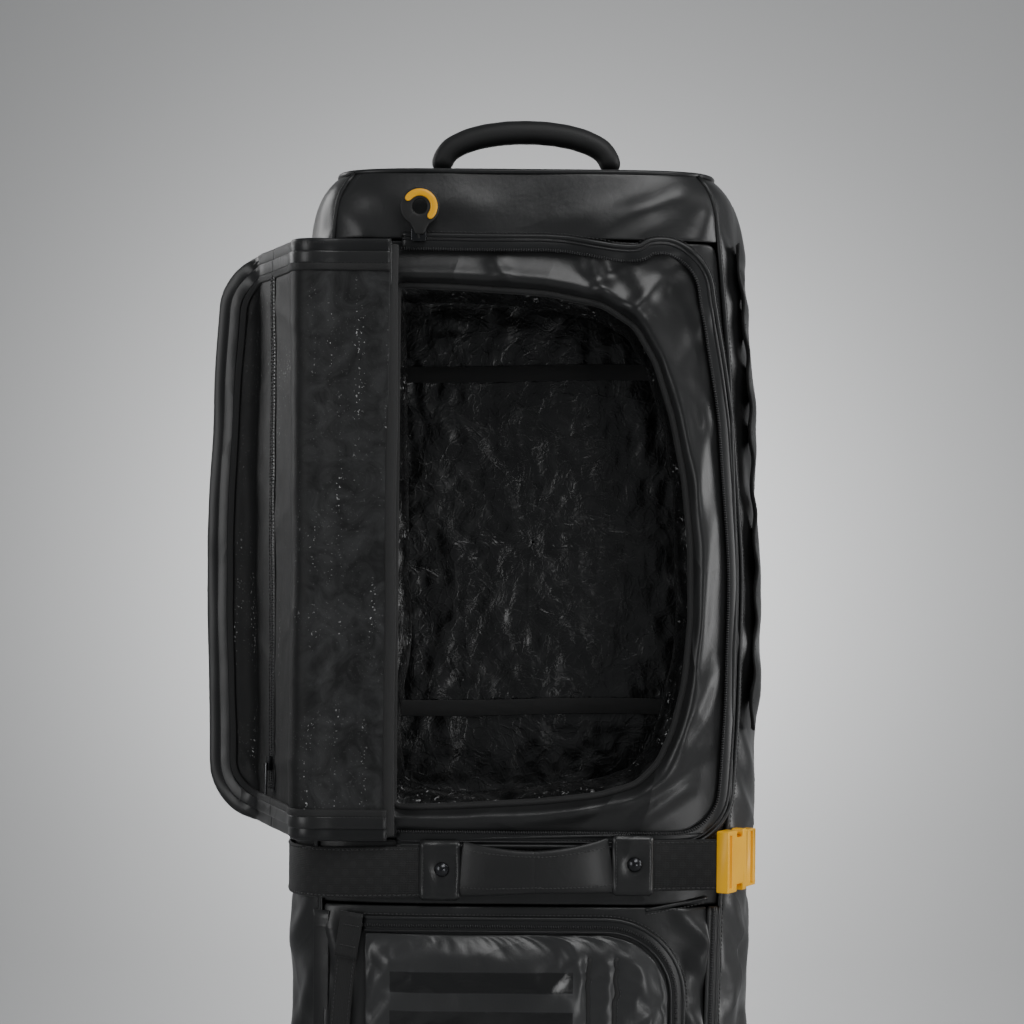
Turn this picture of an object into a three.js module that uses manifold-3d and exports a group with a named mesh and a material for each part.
// Wheeled snowboard bag, standing on its base: a tall soft-sided roller bag with a zipped boot
// compartment in the upper half of the front, a zipped lid with an outer pocket in the lower half,
// a compression strap with a side-release buckle between them, a padded haul handle on top, and
// two wheels in moulded housings at the foot of the back.
// Frame: millimetres, +X to the bag's right as seen from the front, -Y out of the front, +Z up,
// origin on the floor under the middle of the base pad.
// The boot flap is open: its hinge band lies back over the front and its panel hangs past the
// left shoulder. Fabric panels are padded sheets, each one its own closed solid.
import * as THREE from 'three';
import { mergeVertices } from 'three/addons/utils/BufferGeometryUtils.js';
import Module from 'manifold-3d';

const wasm = await Module();
wasm.setup();

// ---------------------------------------------------------------- driving dimensions
const WALL = 7; // padded panel thickness
const TOP_Z = 1644; // top of the end panel
const SHELL_LOW = 92; // where the sewn shell starts, above the moulded tray
const SHELL_HIGH = 1626; // where the shell meets the end panel
const BACK_Y = 132; // back panel's outer face
const FRONT_POWER = 5; // squareness of the outline's front
const BACK_POWER = 6; // squareness of the outline's back

// Outline angles in degrees: 0 is +X, 90 the back, -90 the front.
const FRONT_SEAM = 46;
const BACK_SEAM = 55;
const SEAM_GAP = 0.3;
const FRONT_LEFT = -180 + FRONT_SEAM + SEAM_GAP;
const FRONT_RIGHT = -FRONT_SEAM - SEAM_GAP;

// Outline up the height: [z, half width, depth of the front].
const OUTLINE_STATIONS = [
  [60, 206, 136], [92, 207, 137], [400, 211, 141], [815, 215, 143], [1000, 220, 146],
  [1250, 226, 147], [1450, 217, 146], [1560, 206, 143], [1626, 199, 136], [1644, 188, 128],
];

const SIDES = [['left', -1], ['right', 1]];

// ---------------------------------------------------------------- outline of the bag
const radians = (degrees) => (degrees * Math.PI) / 180;

function stationValue(z, column) {
  const next = OUTLINE_STATIONS.findIndex(([height]) => z <= height);
  const above = OUTLINE_STATIONS[next];
  if (next === 0) return above[column];
  const below = OUTLINE_STATIONS[next - 1];
  return below[column] + ((above[column] - below[column]) * (z - below[0])) / (above[0] - below[0]);
}
const halfWidth = (z) => stationValue(z, 1);
const frontDepth = (z) => stationValue(z, 2);

// The outline is a squared-off oval.
function outlineXY(angle, z) {
  const cos = Math.cos(radians(angle));
  const sin = Math.sin(radians(angle));
  const power = sin < 0 ? FRONT_POWER : BACK_POWER;
  const depth = sin < 0 ? frontDepth(z) : BACK_Y;
  return [
    halfWidth(z) * Math.sign(cos) * Math.abs(cos) ** (2 / power),
    depth * Math.sign(sin) * Math.abs(sin) ** (2 / power),
  ];
}

// A point of the outline, moved outward along its normal.
function outlinePoint(angle, z, offset) {
  const step = 0.4;
  const [x, y] = outlineXY(angle, z);
  const before = outlineXY(angle - step, z);
  const after = outlineXY(angle + step, z);
  const alongX = after[0] - before[0];
  const alongY = after[1] - before[1];
  const length = Math.hypot(alongX, alongY);
  return [x + (offset * alongY) / length, y - (offset * alongX) / length, z];
}

function frontY(x, z) {
  const across = Math.min(Math.abs(x) / halfWidth(z), 0.985);
  return -frontDepth(z) * (1 - across ** FRONT_POWER) ** (1 / FRONT_POWER);
}
// A point on the front, brought forward by an offset.
const frontPoint = (x, z, offset) => [x, frontY(x, z) - offset, z];

// Right-hand line of the boot zip.
const zipX = (z) => 0.82 * halfWidth(z);

// A level ring round the whole outline, drawn in by inset.
function levelRing(z, inset) {
  return Array.from({ length: 36 }, (_, i) => outlinePoint(i * 10, z, -inset));
}

// ---------------------------------------------------------------- meshes and solids
// Unindexed geometry from triangles that agree with each other, turned to face outward.
function fromTriangles(points, triangles) {
  let volume = 0;
  for (const [a, b, c] of triangles) {
    const [p, q, r] = [points[a], points[b], points[c]];
    volume += p[0] * (q[1] * r[2] - q[2] * r[1]);
    volume -= p[1] * (q[0] * r[2] - q[2] * r[0]);
    volume += p[2] * (q[0] * r[1] - q[1] * r[0]);
  }
  const positions = new Float32Array(triangles.length * 9);
  triangles.forEach(([a, b, c], i) => {
    const order = volume < 0 ? [a, c, b] : [a, b, c];
    order.forEach((index, k) => positions.set(points[index], i * 9 + k * 3));
  });
  const geometry = new THREE.BufferGeometry();
  geometry.setAttribute('position', new THREE.BufferAttribute(positions, 3));
  return geometry;
}

// A sheet with thickness: surface(u, v, offset) at two offsets, joined round the edges.
function sheet(surface, outer, inner, columns, rows) {
  const points = [];
  for (const offset of [outer, inner])
    for (let j = 0; j <= rows; j++)
      for (let i = 0; i <= columns; i++) points.push(surface(i / columns, j / rows, offset));

  const out = (i, j) => j * (columns + 1) + i;
  const back = (i, j) => (columns + 1) * (rows + 1) + out(i, j);
  const triangles = [];
  const quad = (a, b, c, d) => triangles.push([a, b, c], [a, c, d]);
  for (let j = 0; j < rows; j++)
    for (let i = 0; i < columns; i++) {
      quad(out(i, j), out(i + 1, j), out(i + 1, j + 1), out(i, j + 1));
      quad(back(i, j), back(i, j + 1), back(i + 1, j + 1), back(i + 1, j));
    }
  for (let i = 0; i < columns; i++) {
    quad(back(i, 0), back(i + 1, 0), out(i + 1, 0), out(i, 0));
    quad(out(i, rows), out(i + 1, rows), back(i + 1, rows), back(i, rows));
  }
  for (let j = 0; j < rows; j++) {
    quad(out(0, j), out(0, j + 1), back(0, j + 1), back(0, j));
    quad(back(columns, j), back(columns, j + 1), out(columns, j + 1), out(columns, j));
  }
  return fromTriangles(points, triangles);
}

// A padded panel following the outline between two angles and two heights.
function panel({ from, to, low, high, columns, rows, out = 0, thickness = WALL }) {
  const surface = (u, v, offset) =>
    outlinePoint(from + (to - from) * u, low + (high - low) * v, offset);
  return sheet(surface, out, out - thickness, columns, rows);
}

// A sheet on the front with a straight left edge; rightAt gives its right edge at each height.
function frontPatch({ left, rightAt, low, high, outer, inner, columns, rows }) {
  const surface = (u, v, offset) => {
    const z = low + (high - low) * v;
    return frontPoint(left + (rightAt(z) - left) * u, z, offset);
  };
  return sheet(surface, outer, inner, columns, rows);
}

// A flat ribbon laid along a path of [x, z] on the front.
function ribbon(path, { width, outer, inner }) {
  const last = path.length - 1;
  const surface = (u, v, offset) => {
    const i = Math.round(v * last);
    const before = path[Math.max(i - 1, 0)];
    const after = path[Math.min(i + 1, last)];
    const along = new THREE.Vector2(after[0] - before[0], after[1] - before[1]).normalize();
    const across = (u - 0.5) * width;
    return frontPoint(path[i][0] + along.y * across, path[i][1] - along.x * across, offset);
  };
  return sheet(surface, outer, inner, 1, last);
}

// Level rings of equal count, counter-clockwise from above and rising, skinned and capped.
function loft(rings) {
  const count = rings[0].length;
  const triangles = [];
  for (let k = 0; k + 1 < rings.length; k++)
    for (let i = 0; i < count; i++) {
      const a = k * count + i;
      const b = k * count + ((i + 1) % count);
      triangles.push([a, b, b + count], [a, b + count, a + count]);
    }
  const capFaces = (ring) =>
    THREE.ShapeUtils.triangulateShape(ring.map(([x, y]) => new THREE.Vector2(x, y)), []);
  const topStart = (rings.length - 1) * count;
  for (const [a, b, c] of capFaces(rings[0])) triangles.push([a, c, b]);
  for (const face of capFaces(rings.at(-1))) triangles.push(face.map((i) => topStart + i));
  return fromTriangles(rings.flat(), triangles);
}

function toSolid(source) {
  const bare = source.index ? source.toNonIndexed() : source.clone();
  bare.deleteAttribute('normal');
  bare.deleteAttribute('uv');
  const merged = mergeVertices(bare, 1e-3);
  return new wasm.Manifold(new wasm.Mesh({
    numProp: 3,
    vertProperties: merged.attributes.position.array,
    triVerts: new Uint32Array(merged.index.array),
  }));
}
function toGeometry(manifold) {
  const mesh = manifold.getMesh();
  const positions = new Float32Array(mesh.vertProperties);
  const geometry = new THREE.BufferGeometry();
  geometry.setAttribute('position', new THREE.BufferAttribute(positions, 3));
  geometry.setIndex(new THREE.BufferAttribute(new Uint32Array(mesh.triVerts), 1));
  return geometry;
}
const combine = (operation, first, others) =>
  toGeometry(others.reduce((sum, other) => sum[operation](toSolid(other)), toSolid(first)));
const cut = (first, ...tools) => combine('subtract', first, tools);
const common = (first, ...others) => combine('intersect', first, others);
const join = (first, ...others) => combine('add', first, others);

const span = (centre, half) => [centre - half, centre + half];

// A box between two limits on each axis, given in either order.
function box([x0, x1], [y0, y1], [z0, z1]) {
  return new THREE.BoxGeometry(Math.abs(x1 - x0), Math.abs(y1 - y0), Math.abs(z1 - z0))
    .translate((x0 + x1) / 2, (y0 + y1) / 2, (z0 + z1) / 2);
}
// A cylinder along X.
function rod(radius, [x0, x1], y, z, segments) {
  return new THREE.CylinderGeometry(radius, radius, Math.abs(x1 - x0), segments)
    .rotateZ(Math.PI / 2)
    .translate((x0 + x1) / 2, y, z);
}
const vectors = (pairs) => pairs.map(([x, y]) => new THREE.Vector2(x, y));
const polygon = (pairs) => new THREE.Shape(vectors(pairs));
const extrude = (shape, depth, curveSegments = 4) =>
  new THREE.ExtrudeGeometry(shape, { depth, bevelEnabled: false, curveSegments });

// A flat shape drawn in X and Z, made solid from depth y0 to y1.
function plateXZ(shape, [y0, y1], curveSegments) {
  return extrude(shape, y1 - y0, curveSegments).rotateX(Math.PI / 2).translate(0, y1, 0);
}
// Depth range of cutters that pass right through the front.
const THROUGH_FRONT = [-260, -40];

// ---------------------------------------------------------------- materials
const standard = (settings) => new THREE.MeshStandardMaterial(settings);
const materials = {
  tarpaulin: standard({ color: 0x26282a, roughness: 0.42, metalness: 0 }),
  lining: standard({ color: 0x101112, roughness: 0.25, metalness: 0 }),
  webbing: standard({ color: 0x18191a, roughness: 0.9, metalness: 0 }),
  zip: standard({ color: 0x1b1c1d, roughness: 0.5, metalness: 0 }),
  board: standard({ color: 0x3a3b3d, roughness: 0.7, metalness: 0 }),
  accent: standard({ color: 0xf6b92c, roughness: 0.45, metalness: 0 }),
  plastic: standard({ color: 0x1c1d1e, roughness: 0.5, metalness: 0 }),
  rubber: standard({ color: 0x131313, roughness: 0.85, metalness: 0 }),
  metal: standard({ color: 0x3c3d3f, roughness: 0.3, metalness: 0.9 }),
};

const bag = new THREE.Group();
function add(name, geometry, material, parent = bag) {
  const mesh = new THREE.Mesh(geometry, material);
  mesh.name = name;
  parent.add(mesh);
}
function addGroup(parent, [x, y, z], turn) {
  const group = new THREE.Group();
  group.position.set(x, y, z);
  group.rotation.z = turn;
  parent.add(group);
  return group;
}

// ---------------------------------------------------------------- sewn shell
function addShell() {
  const shell = (name, from, to, columns, rows, low = SHELL_LOW) => {
    const geometry = panel({ from, to, low, high: SHELL_HIGH, columns, rows });
    add(name, geometry, materials.tarpaulin);
  };
  const sideFront = FRONT_SEAM - SEAM_GAP;
  const sideBack = BACK_SEAM - SEAM_GAP;
  const backEdge = BACK_SEAM + SEAM_GAP;
  shell('back_panel', backEdge, 180 - backEdge, 8, 7);
  shell('side_panel_right', -sideFront, sideBack, 12, 9);
  shell('side_panel_left', 180 - sideBack, 180 + sideFront, 12, 9);
  shell('front_top_panel', FRONT_LEFT, FRONT_RIGHT, 10, 2, 1571.5);
}

// A shallow dome closing the top. Profiles are [z above the shell, inset].
const END_OUTER = [[0.6, 0], [9, 1.5], [15, 7], [TOP_Z - SHELL_HIGH, 22]];
const END_INNER = [[-4, 7], [6, 8], [11, 24]];
function addEndPanel() {
  const dome = (profile) => loft(profile.map(([rise, inset]) => levelRing(SHELL_HIGH + rise, inset)));
  add('end_panel_top', cut(dome(END_OUTER), dome(END_INNER)), materials.tarpaulin);
}

// Boot opening, [x, z].
const OPENING = [
  [-112, 1530], [-20, 1528], [60, 1518], [104, 1496], [132, 1446], [152, 1370], [160, 1290],
  [160, 1200], [150, 1130], [134, 1076], [104, 1046], [50, 1036], [-112, 1034],
];
// The collar is set back so that the closed flap lies over it.
function addFrontBands() {
  const front = { from: FRONT_LEFT, to: FRONT_RIGHT };
  const collar = { low: 1005, high: 1571, columns: 12, rows: 6, out: -6, thickness: 6 };
  const opening = plateXZ(polygon(OPENING), [-220, -60]);
  add('boot_collar', cut(panel({ ...front, ...collar }), opening), materials.tarpaulin);
  const band = { low: 943, high: 1004.4, columns: 10, rows: 1, out: -2 };
  add('mid_band_panel', panel({ ...front, ...band }), materials.tarpaulin);
}

// ---------------------------------------------------------------- inside
// A level shelf from the front to just short of the divider.
function shelf(low) {
  const inset = 14;
  const thickness = 5;
  const backY = 16;
  const from = -180 + FRONT_SEAM + 4;
  const sweep = 180 - 2 * FRONT_SEAM - 8;
  const ring = (z) => {
    const front = [];
    for (let i = 0; i <= 10; i++) front.push(outlinePoint(from + (sweep * i) / 10, z, -inset));
    const backX = 188 * (halfWidth(z) / 234);
    return [...front, [backX, backY, z], [-backX, backY, z]];
  };
  return loft([ring(low), ring(low + thickness)]);
}

function addInterior() {
  const { lining, board, webbing } = materials;
  add('boot_compartment_floor', shelf(1014), lining);
  add('boot_compartment_roof', shelf(1545), lining);
  add('boot_compartment_divider', box([-184, 184], [17, 23], [1008, 1556]), lining);
  add('back_stiffener_board', box([-160, 160], [114, 117], [110, 1590]), board);
  for (const [place, z] of [['lower', 459], ['upper', 839]])
    add('board_strap_' + place, box([-150, 150], [111, 113.6], span(z, 19)), webbing);
}

// ---------------------------------------------------------------- boot zip tape
const BOOT_ZIP = { left: -118, low: 1007, high: 1566, topRadius: 48, lowRadius: 51, outset: 6 };

// Along the top, down the right and back along the bottom, with rounded corners.
function bootZipPath() {
  const { left, low, high, topRadius, lowRadius, outset } = BOOT_ZIP;
  const right = (z) => zipX(z) + outset;
  const topEnd = right(high) - topRadius;
  const lowEnd = right(low) - lowRadius;
  const topZ = high - topRadius;
  const lowZ = low + lowRadius;
  const path = [];
  for (let i = 0; i <= 6; i++) path.push([left + ((topEnd - left) * i) / 6, high]);
  for (let i = 1; i < 4; i++) {
    const angle = (i * Math.PI) / 8;
    const x = right(topZ) - topRadius + topRadius * Math.sin(angle);
    path.push([x, topZ + topRadius * Math.cos(angle)]);
  }
  for (let i = 0; i <= 5; i++) {
    const z = topZ + ((lowZ - topZ) * i) / 5;
    path.push([right(z), z]);
  }
  for (let i = 1; i < 4; i++) {
    const angle = (i * Math.PI) / 8;
    const x = right(lowZ) - lowRadius + lowRadius * Math.cos(angle);
    path.push([x, lowZ - lowRadius * Math.sin(angle)]);
  }
  for (let i = 0; i <= 6; i++) path.push([lowEnd + ((left - lowEnd) * i) / 6, low]);
  return path;
}
function addBootZipTape() {
  const tape = ribbon(bootZipPath(), { width: 9, outer: 2.8, inner: 1 });
  add('boot_zip_tape', tape, materials.zip);
}

// ---------------------------------------------------------------- moulded base
// Profiles are [z, inset].
const TRAY_OUTER = [[8.4, 14], [16, 4], [26, 1], [91.4, 0]];
const TRAY_INNER = [[14, 18], [26, 7], [95, 6]];
function addBaseTray() {
  const bowl = (profile) => loft(profile.map(([z, inset]) => levelRing(z, inset)));
  const wells = SIDES.map(([, sign]) => box([sign * 146, sign * 240], [62, 160], [0, 92]));
  add('base_tray', cut(bowl(TRAY_OUTER), bowl(TRAY_INNER), ...wells), materials.plastic);
}

function addBasePad() {
  const pad = { left: -150, right: 150, front: -100, back: 54, radius: 18, thickness: 8 };
  const [left, right] = [pad.left + pad.radius, pad.right - pad.radius];
  const [front, back] = [pad.front + pad.radius, pad.back - pad.radius];
  const shape = new THREE.Shape();
  shape.moveTo(left, pad.front);
  shape.lineTo(right, pad.front);
  const corners = [[right, front], [right, back], [left, back], [left, front]];
  corners.forEach(([x, y], i) => {
    shape.absarc(x, y, pad.radius, ((i - 1) * Math.PI) / 2, (i * Math.PI) / 2, false);
  });
  add('base_pad', extrude(shape, pad.thickness, 5), materials.rubber);
}

// ---------------------------------------------------------------- wheels and runners
const WHEEL = { radius: 35, halfWidth: 13, x: 172, y: 112, z: 38 };
const WELL_R = WHEEL.radius + 6;
const WELL_HALF = 18;
const HUB_R = 21;
const AXLE_R = 4;
const BORE_R = 4.5;
const TYRE_BORE_R = HUB_R + 0.4;

// Profiles turned about the axle: [radius, distance along it].
const TYRE_PROFILE = [
  [TYRE_BORE_R, -11], [30, -WHEEL.halfWidth], [33.5, -11], [WHEEL.radius, -6],
  [WHEEL.radius, 6], [33.5, 11], [30, WHEEL.halfWidth], [TYRE_BORE_R, 11],
];
const HUB_PROFILE = [
  [BORE_R, -12.5], [9, -12.5], [10, -9], [18, -8], [19, -10.5], [HUB_R, -10.5],
  [HUB_R, 10.5], [19, 10.5], [18, 8], [10, 9], [9, 12.5], [BORE_R, 12.5],
];

function wheelHousing(sign) {
  const { x, y, z } = WHEEL;
  const well = span(sign * x, WELL_HALF);
  const blank = box([sign * 147, sign * 198], [63, 128], [9, 91]);
  const bore = rod(WELL_R, well, y, z, 28);
  const openBack = box(well, [y, 170], [-5, z + WELL_R]);
  const openBelow = box(well, [y - WELL_R, 170], [-5, z]);
  const axleHole = rod(AXLE_R + 0.45, [sign * 120, sign * 220], y, z, 16);
  const corner = new THREE.BoxGeometry(40, 40, 120)
    .rotateZ(Math.PI / 4)
    .translate(sign * 216, 146, 50);
  return cut(blank, bore, openBack, openBelow, axleHole, corner);
}
function turnedOnAxle(profile, sign, segments) {
  return new THREE.LatheGeometry(vectors([...profile, profile[0]]), segments)
    .rotateZ(Math.PI / 2)
    .translate(sign * WHEEL.x, WHEEL.y, WHEEL.z);
}
function skidRail(sign) {
  const section = polygon([[-11, 0], [11, 0], [7, 8], [-7, 8]]);
  return extrude(section, 640).translate(sign * 105, BACK_Y + 0.4, 120);
}
function addWheels() {
  const { plastic, metal, rubber } = materials;
  for (const [side, sign] of SIDES) {
    const axle = rod(AXLE_R, span(sign * WHEEL.x, 24.5), WHEEL.y, WHEEL.z, 16);
    add('wheel_housing_' + side, wheelHousing(sign), plastic);
    add('wheel_axle_' + side, axle, metal);
    add('wheel_tyre_' + side, turnedOnAxle(TYRE_PROFILE, sign, 28), rubber);
    add('wheel_hub_' + side, turnedOnAxle(HUB_PROFILE, sign, 24), plastic);
    add('skid_rail_' + side, skidRail(sign), plastic);
  }
}

// ---------------------------------------------------------------- boot flap
// The leaves are drawn closed, moved to their fold lines, then swung open by nested groups.
const FLAP = { low: 1012, high: 1561, radius: 46, thickness: 6, clearance: 1 };
const HINGE_X = -123;
const HINGE_Y = -153;
const BAND_W = 83; // hinge line to first fold
const LEAF_W = 176; // first fold to edge fold
const FOLD_X = HINGE_X + BAND_W;
const EDGE_FOLD_X = FOLD_X + LEAF_W;
const EDGE_FOLD_Y = -145.5;
const FLAP_DROOP = 72; // how far the open flap hangs past straight, degrees
const FLAP_RETURN = 38; // how far its edge leaf turns back out again, degrees
const FLAP_POCKET = { x: FOLD_X + 100, z: 1068 };

const flapEdge = (z) => zipX(z) - 3;
const toFold = (geometry) => geometry.translate(-FOLD_X, -HINGE_Y, 0);

function flapLeaf(left, rightAt, columns) {
  const { low, high, thickness, clearance: inner } = FLAP;
  return frontPatch({ left, rightAt, low, high, outer: thickness + inner, inner, columns, rows: 8 });
}

// Cutter that rounds the flap's right-hand corners.
function flapCutter() {
  const { low, high, radius } = FLAP;
  const left = FOLD_X - 20;
  const margin = 0.01;
  const lowZ = low + radius;
  const highZ = high - radius;
  const lowX = flapEdge(lowZ) - radius;
  const highX = flapEdge(highZ) - radius;
  const shape = new THREE.Shape();
  shape.moveTo(left, low - margin);
  shape.lineTo(lowX, low - margin);
  shape.absarc(lowX, lowZ, radius, -Math.PI / 2, 0, false);
  for (let i = 1; i < 6; i++) {
    const z = lowZ + ((high - low - 2 * radius) * i) / 6;
    shape.lineTo(flapEdge(z) + 5, z);
  }
  shape.absarc(highX, highZ, radius, 0, Math.PI / 2, false);
  shape.lineTo(left, high + margin);
  shape.closePath();
  return plateXZ(shape, THROUGH_FRONT, 6);
}

function addBootFlap() {
  const { tarpaulin, metal } = materials;
  const hinge = addGroup(bag, [HINGE_X, HINGE_Y, 0], -Math.PI);
  const band = flapLeaf(HINGE_X + 1, () => FOLD_X - 0.8, 2).translate(-HINGE_X, -HINGE_Y, 0);
  add('flap_hinge_band', band, tarpaulin, hinge);

  const fold = addGroup(hinge, [BAND_W, 0, 0], -radians(FLAP_DROOP));
  const edgeFold = addGroup(fold, [LEAF_W, EDGE_FOLD_Y - HINGE_Y, 0], radians(FLAP_RETURN));
  const cutter = flapCutter();
  const middle = common(flapLeaf(FOLD_X + 1.4, () => EDGE_FOLD_X - 2.1, 6), cutter);
  const edge = common(flapLeaf(EDGE_FOLD_X + 2.1, flapEdge, 3), cutter);
  add('flap_panel', toFold(middle), tarpaulin, fold);
  add('flap_edge_panel', edge.translate(-EDGE_FOLD_X, -EDGE_FOLD_Y, 0), tarpaulin, edgeFold);

  // Slider and puller of the zip pocket in the flap's lining.
  const { x, z } = FLAP_POCKET;
  const y = frontY(x, z) - FLAP.clearance;
  const slider = box(span(x, 4), [y + 0.6, y + 4.6], span(z, 7));
  const puller = box(span(x, 4.5), [y + 5.2, y + 6.8], [z - 30, z + 1]);
  add('flap_pocket_slider', toFold(slider), metal, fold);
  add('flap_pocket_puller', toFold(puller), metal, fold);
}

// ---------------------------------------------------------------- boot zip slider and pull
const SLIDER = { x: -101, y: -152, z: 1574 };
const PULL = { x: SLIDER.x + 1, z: SLIDER.z + 26, radius: 18.5, holeRadius: 7.2 };
const INLAY = { outerRadius: 15.8, innerRadius: 9.2, from: -0.9, to: 2.7 }; // angles, radians

function addBootSlider() {
  const { x, y, z } = SLIDER;
  add('boot_zip_slider', box(span(x, 7), [y + 1.2, y + 5.9], span(z, 6)), materials.metal);
}
// The looped pull lies up over the top panel.
function addBootPull() {
  const { x, z, radius, holeRadius } = PULL;
  const { y } = SLIDER;
  const neck = { tipHalf: 3.5, tipZ: SLIDER.z + 1, rootHalf: 6, rootZ: z - 16.5, angle: 1.15 };
  const loop = new THREE.Shape();
  loop.moveTo(x - neck.tipHalf, neck.tipZ);
  loop.lineTo(x + neck.tipHalf, neck.tipZ);
  loop.lineTo(x + neck.rootHalf, neck.rootZ);
  loop.absarc(x, z, radius, -neck.angle, Math.PI + neck.angle, false);
  loop.lineTo(x - neck.rootHalf, neck.rootZ);
  loop.closePath();
  const hole = new THREE.Path();
  hole.absarc(x, z, holeRadius, 0, 2 * Math.PI, true);
  loop.holes.push(hole);
  add('boot_pull_loop', plateXZ(loop, [y - 2.2, y + 0.8], 7), materials.rubber);

  const arc = new THREE.Shape();
  arc.absarc(x, z, INLAY.outerRadius, INLAY.from, INLAY.to, false);
  arc.absarc(x, z, INLAY.innerRadius, INLAY.to, INLAY.from, true);
  arc.closePath();
  add('boot_pull_inlay', plateXZ(arc, [y - 4, y - 2.5], 10), materials.accent);
}

// ---------------------------------------------------------------- lower lid with its pocket
const LID_LOW = 98;
const LID_HIGH = 942;
const POCKET = { left: -146, right: 140, low: 430, high: 917, radius: 62 };
const POCKET_ZIP_GAP = 7; // from the pocket's edge to the middle of its zip tape

// Webbing down the left of the lid, [x, z].
const SIDE_STRAP_PATH = [
  [-157, 934], [-164, 880], [-169, 820], [-171, 700],
  [-171, 560], [-170, 420], [-168, 280], [-166, 140],
];

function addLowerLid() {
  const lid = { from: -180 + FRONT_SEAM + 1.5, to: -53.6, low: LID_LOW, high: LID_HIGH };
  const tape = { from: -53, to: FRONT_RIGHT, low: SHELL_LOW, high: LID_HIGH };
  add('lower_lid', panel({ ...lid, columns: 10, rows: 7 }), materials.tarpaulin);
  const tapePanel = panel({ ...tape, columns: 2, rows: 6, out: -1, thickness: 5 });
  add('lid_zip_tape', tapePanel, materials.zip);
}

function addLowerPocket() {
  const { left, right, low, high, radius } = POCKET;
  const rightAt = () => right;
  const size = { left, rightAt, low, high, outer: 11, inner: 1 };
  const blank = frontPatch({ ...size, columns: 8, rows: 6 });
  // Rounded at the top right corner and clipped at the bottom right.
  const margin = 9;
  const clip = 14;
  const shape = new THREE.Shape();
  shape.moveTo(left - margin, low - margin);
  shape.lineTo(right - clip, low - margin);
  shape.lineTo(right, low + clip);
  shape.lineTo(right, high - radius);
  shape.absarc(right - radius, high - radius, radius, 0, Math.PI / 2, false);
  shape.lineTo(left - margin, high);
  shape.closePath();
  add('lower_pocket', common(blank, plateXZ(shape, THROUGH_FRONT, 6)), materials.tarpaulin);
}

// Tape round the pocket's top and right edge.
function addPocketZipTape() {
  const { left, right, low, high, radius } = POCKET;
  const bend = radius + POCKET_ZIP_GAP;
  const centreX = right - radius;
  const centreZ = high - radius;
  const path = [];
  for (let i = 0; i <= 5; i++)
    path.push([left + ((centreX - left) * i) / 5, high + POCKET_ZIP_GAP]);
  for (let i = 1; i < 6; i++) {
    const angle = (i * Math.PI) / 12;
    path.push([centreX + bend * Math.sin(angle), centreZ + bend * Math.cos(angle)]);
  }
  for (let i = 0; i <= 5; i++)
    path.push([right + POCKET_ZIP_GAP, centreZ + ((low + 20 - centreZ) * i) / 5]);
  const tape = ribbon(path, { width: 11, outer: 3, inner: 1 });
  add('lower_pocket_zip_tape', tape, materials.zip);
}

function addLidFittings() {
  const { metal, rubber, webbing } = materials;
  const x = POCKET.right + POCKET_ZIP_GAP;
  const z = 520;
  const y = frontY(x, z);
  add('lower_pocket_slider', box(span(x, 4.5), [y - 9.4, y - 4.6], span(z, 7)), metal);
  add('lower_pocket_puller', box(span(x, 4.5), [y - 12, y - 9.8], [z - 34, z + 1]), rubber);
  const strap = ribbon(SIDE_STRAP_PATH, { width: 20, outer: 3, inner: 1 });
  add('lid_side_strap', strap, webbing);
}

// Parked at the foot of the lid zip, turned to face out of the rounded corner.
function addLidSlider() {
  const z = 140;
  const turn = radians(37);
  const [x, y] = outlineXY(-50, z);
  const place = (geometry, offset, rise) => geometry
    .rotateZ(turn)
    .translate(x + offset * Math.sin(turn), y - offset * Math.cos(turn), z + rise);
  add('lid_zip_slider', place(new THREE.BoxGeometry(9, 5, 14), 4, 0), materials.metal);
  add('lid_zip_puller', place(new THREE.BoxGeometry(9, 2.2, 34), 8.4, -16), materials.rubber);
}

// ---------------------------------------------------------------- compression strap
// rise is the climb to the right per millimetre; level is where the outline is taken.
const STRAP = { width: 47, z: 976, rise: 0.033, clearance: 3.4, thickness: 2, level: 980 };
const TAB = { width: 39, height: 57 };
const TAB_X = [-76, 105]; // left, right
const RIVET_PROFILE = [[0, 0], [5.6, 0], [5.6, 0.9], [4, 2.2], [0, 2.8]]; // [radius, height]

const strapZ = (x, v = 0.5) => STRAP.z + STRAP.rise * (x - TAB_X[0]) + (v - 0.5) * STRAP.width;

// Outline angle of a point on the front.
function frontAngle(x) {
  const cos = Math.min(Math.abs(x) / halfWidth(STRAP.level), 1) ** (FRONT_POWER / 2);
  return -Math.acos(Math.sign(x) * cos) * (180 / Math.PI);
}
// A length of webbing round the bag between two outline angles.
function girth(from, to, columns) {
  const surface = (u, v, offset) => {
    const [x, y] = outlinePoint(from + (to - from) * u, STRAP.level, offset);
    return [x, y, strapZ(x, v)];
  };
  return sheet(surface, STRAP.clearance + STRAP.thickness, STRAP.clearance, columns, 1);
}
function addStraps() {
  const underTab = TAB.width / 2 - 2;
  const { webbing } = materials;
  add('strap_left', girth(-228, frontAngle(TAB_X[0] + underTab), 18), webbing);
  add('strap_right', girth(frontAngle(TAB_X[1] - underTab), -50, 10), webbing);
  add('strap_side', girth(-14, 48, 10), webbing);
}
function addKeeperTabs() {
  SIDES.forEach(([side], i) => {
    const x = TAB_X[i];
    const y = frontY(x, STRAP.level);
    const z = strapZ(x);
    const tab = box(span(x, TAB.width / 2), [y - 8.3, y - 6.1], span(z, TAB.height / 2));
    const rivet = new THREE.LatheGeometry(vectors(RIVET_PROFILE), 14)
      .rotateX(Math.PI)
      .translate(x + 2, y - 8.6, z + 1);
    add('keeper_tab_' + side, tab, materials.tarpaulin);
    add('keeper_rivet_' + side, rivet, materials.metal);
  });
}
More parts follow.
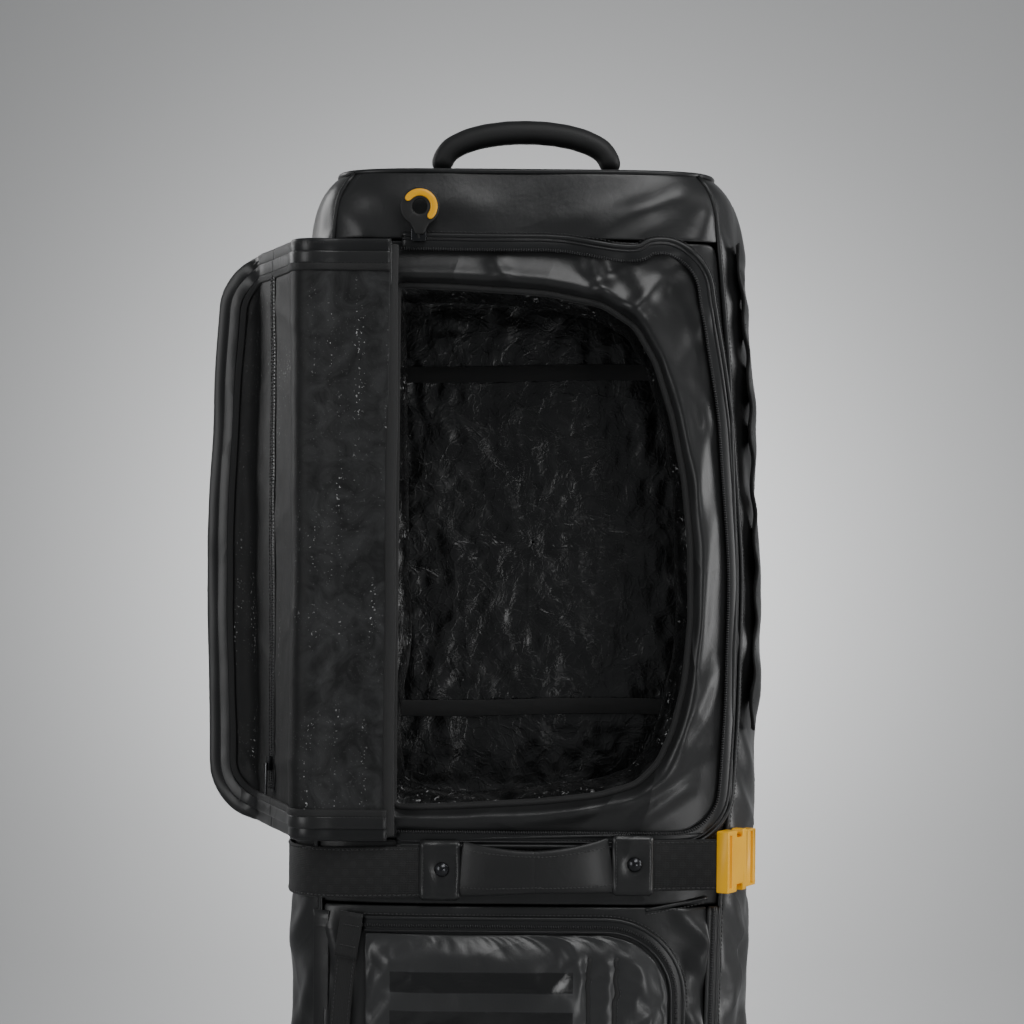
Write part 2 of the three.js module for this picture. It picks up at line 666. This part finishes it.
// Bowed forward between the two tabs.
function addCarryHandle() {
  const [clearance, bow, thickness] = [4.2, 11, 5];
  const left = TAB_X[0] + TAB.width / 2 + 1;
  const right = TAB_X[1] - TAB.width / 2 - 1;
  const surface = (u, v, offset) => {
    const x = left + (right - left) * u;
    const forward = clearance + bow * Math.sin(Math.PI * u) + offset;
    return [x, frontY(x, STRAP.level) - forward, strapZ(x, v)];
  };
  add('carry_handle', sheet(surface, thickness, 0, 10, 1), materials.webbing);
}

// Buckle on the right shoulder. Its own axes: x along the strap, y into the bag.
function addBuckle() {
  const buckle = addGroup(bag, [206, -126, 987], radians(60));
  const through = [-10, 10];
  const slotZ = [-24.5, 24.5];
  const socket = cut(
    box([-34, 6], [-6, 6], [-29, 29]),
    box([-29.5, -24.5], through, slotZ),
    box([-22, 10], [-3.6, 3.6], [-24, 24]),
    box([-14, -2], through, [22, 40]),
    box([-14, -2], through, [-40, -22]),
  );
  // A bar with two side prongs and a middle one.
  const plug = join(
    box([6.8, 29], [-5, 5], [-27, 27]),
    box([-14, 7], [-3, 3], [14, 20.5]),
    box([-14, 7], [-3, 3], [-20.5, -14]),
    box([-16, 7], [-3, 3], [-3, 3]),
  );
  add('buckle_socket', socket, materials.accent, buckle);
  add('buckle_plug', cut(plug, box([18, 23.5], through, slotZ)), materials.accent, buckle);
}

// ---------------------------------------------------------------- lashing loops up the sides
const LASH = { low: 1110, high: 1570, width: 28, rows: 18, inner: 1.2, outer: 3.4, loop: 4.6 };
const LASH_FRONT_Y = [-62, -116]; // front edge, left and right

function sidePoint(sign, y, z, offset) {
  const sideX = (depth) =>
    halfWidth(z) * (1 - Math.abs(depth / frontDepth(z)) ** FRONT_POWER) ** (1 / FRONT_POWER);
  const change = sideX(y + 1) - sideX(y - 1);
  const length = Math.hypot(change, 2);
  return [sign * (sideX(y) + (offset * 2) / length), y - (offset * change) / length, z];
}
// Every other row of the outer face stands out as a loop.
function addLashWebbing() {
  const { low, high, width, rows, inner, outer, loop } = LASH;
  SIDES.forEach(([side, sign], i) => {
    const surface = (u, v, offset) => {
      const raised = offset === outer && Math.round(v * rows) % 2 === 1;
      const height = offset + (raised ? loop : 0);
      return sidePoint(sign, LASH_FRONT_Y[i] + width * u, low + (high - low) * v, height);
    };
    add('lash_webbing_' + side, sheet(surface, outer, inner, 3, rows), materials.webbing);
  });
}

// ---------------------------------------------------------------- haul handle
const HAUL = { y: -12, base: TOP_Z + 3.8, footRadius: 15.3, halfSpan: 83, rise: 41 };
const GRIP = { sides: 10, radiusA: 15, radiusB: 11.5 }; // oval section

// Right half of the centre line, [x, z above the base].
const HAUL_RIGHT = [
  [45, 35.5], [HAUL.halfSpan - 10, 20], [HAUL.halfSpan, 6], [HAUL.halfSpan + 1, -8],
];

function addHaulHandle() {
  const { y, base, footRadius, rise } = HAUL;
  const leftHalf = HAUL_RIGHT.map(([x, z]) => [-x, z]).reverse();
  const line = [...leftHalf, [0, rise], ...HAUL_RIGHT];
  const extrudePath = new THREE.CatmullRomCurve3(
    line.map(([x, z]) => new THREE.Vector3(x, y, base + z)),
  );
  const section = polygon(Array.from({ length: GRIP.sides }, (_, i) => {
    const angle = (i / GRIP.sides) * 2 * Math.PI;
    return [GRIP.radiusA * Math.cos(angle), GRIP.radiusB * Math.sin(angle)];
  }));
  const grip = new THREE.ExtrudeGeometry(section, { steps: 18, bevelEnabled: false, extrudePath });
  // The feet end in half rounds about an axis along X.
  const footZ = base + footRadius;
  const limits = join(
    box([-200, 200], [-100, 100], [footZ, base + 200]),
    rod(footRadius, [-200, 200], y, footZ, 40),
  );
  add('haul_handle', common(grip, limits), materials.rubber);
}
function addHaulAnchors() {
  for (const [side, sign] of SIDES) {
    const anchor = box([sign * 66, sign * 124], span(HAUL.y, 19), [TOP_Z + 0.3, TOP_Z + 3.4]);
    add('haul_handle_anchor_' + side, anchor, materials.webbing);
  }
}

// ---------------------------------------------------------------- assembly
addShell();
addEndPanel();
addFrontBands();
addInterior();
addBootZipTape();
addBaseTray();
addBasePad();
addWheels();
addBootFlap();
addBootSlider();
addBootPull();
addLowerLid();
addLowerPocket();
addPocketZipTape();
addLidFittings();
addLidSlider();
addStraps();
addKeeperTabs();
addCarryHandle();
addBuckle();
addLashWebbing();
addHaulHandle();
addHaulAnchors();

export default bag;
